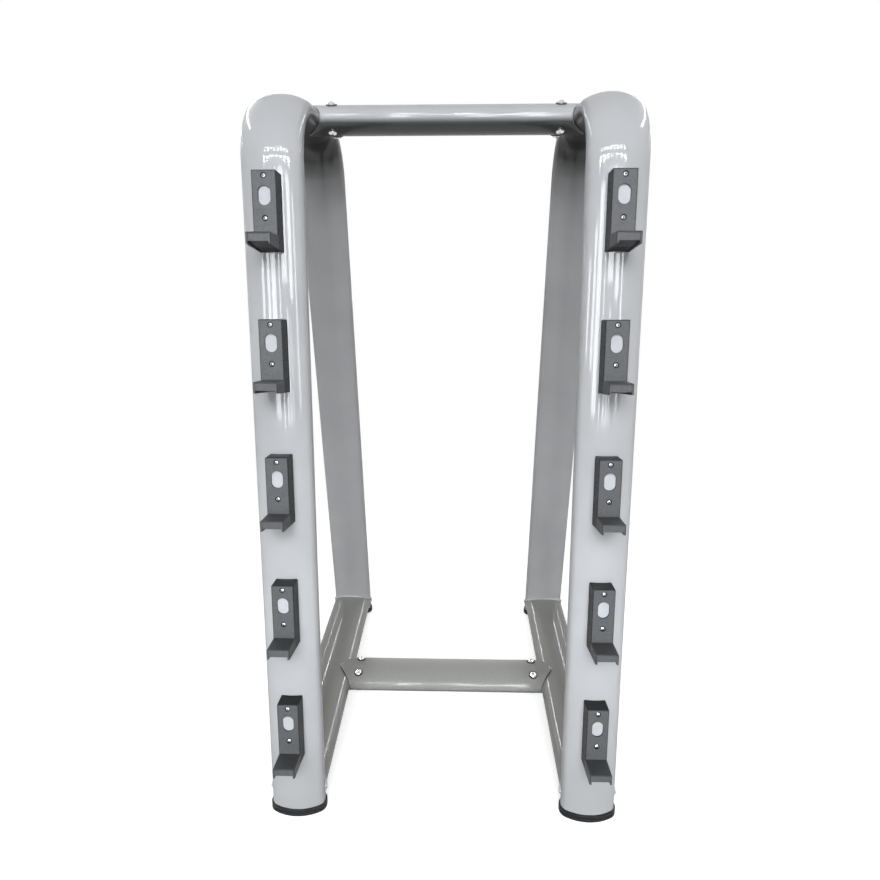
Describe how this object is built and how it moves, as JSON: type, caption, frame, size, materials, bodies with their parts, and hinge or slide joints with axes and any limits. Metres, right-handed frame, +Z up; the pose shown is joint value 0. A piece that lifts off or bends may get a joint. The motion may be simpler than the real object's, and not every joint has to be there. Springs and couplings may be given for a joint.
{
  "type": "barbell storage rack",
  "caption": "Free-standing rack for fixed barbells: two bent oval-tube side arches tied by cross tubes, with saddles up each front leg.",
  "frame": {"origin": "on the floor, under the middle of the whole rack's box", "axes": "+Z up, -Y towards the front with the saddles, +X to the right seen from the front"},
  "size_m": [0.786, 0.9406, 1.5233],
  "materials": {
    "frame_paint": "satin silver powder coat",
    "bracket_paint": "satin light silver coat",
    "cover_plastic": "fine-grained moulded plastic, dark grey",
    "foot_rubber": "matt black rubber",
    "zinc": "bright zinc plating",
    "washer_black": "black oxide"
  },
  "bodies": {
    "root": {"left_arch_tube": "frame_paint", "right_arch_tube": "frame_paint", "left_base_rail": "frame_paint", "right_base_rail": "frame_paint", "left_rail_welds": "frame_paint", "right_rail_welds": "frame_paint", "upper_cross_tube": "frame_paint", "lower_cross_tube": "frame_paint", "upper_left_spigot": "bracket_paint", "upper_right_spigot": "bracket_paint", "lower_left_spigot": "bracket_paint", "lower_right_spigot": "bracket_paint", "upper_left_bolts": "zinc", "upper_right_bolts": "zinc", "lower_left_bolts": "zinc", "lower_right_bolts": "zinc", "upper_left_washers": "washer_black", "upper_right_washers": "washer_black", "lower_left_washers": "washer_black", "lower_right_washers": "washer_black", "front_left_foot_cap": "foot_rubber", "front_right_foot_cap": "foot_rubber", "rear_left_foot_cap": "foot_rubber", "rear_right_foot_cap": "foot_rubber", "left_saddle_cover_1": "cover_plastic", "left_saddle_cover_2": "cover_plastic", "left_saddle_cover_3": "cover_plastic", "left_saddle_cover_4": "cover_plastic", "left_saddle_cover_5": "cover_plastic", "right_saddle_cover_1": "cover_plastic", "right_saddle_cover_2": "cover_plastic", "right_saddle_cover_3": "cover_plastic", "right_saddle_cover_4": "cover_plastic", "right_saddle_cover_5": "cover_plastic", "left_saddle_bracket_1": "bracket_paint", "left_saddle_bracket_2": "bracket_paint", "left_saddle_bracket_3": "bracket_paint", "left_saddle_bracket_4": "bracket_paint", "left_saddle_bracket_5": "bracket_paint", "right_saddle_bracket_1": "bracket_paint", "right_saddle_bracket_2": "bracket_paint", "right_saddle_bracket_3": "bracket_paint", "right_saddle_bracket_4": "bracket_paint", "right_saddle_bracket_5": "bracket_paint", "left_saddle_screws": "zinc", "right_saddle_screws": "zinc"}
  },
  "joints": []
}
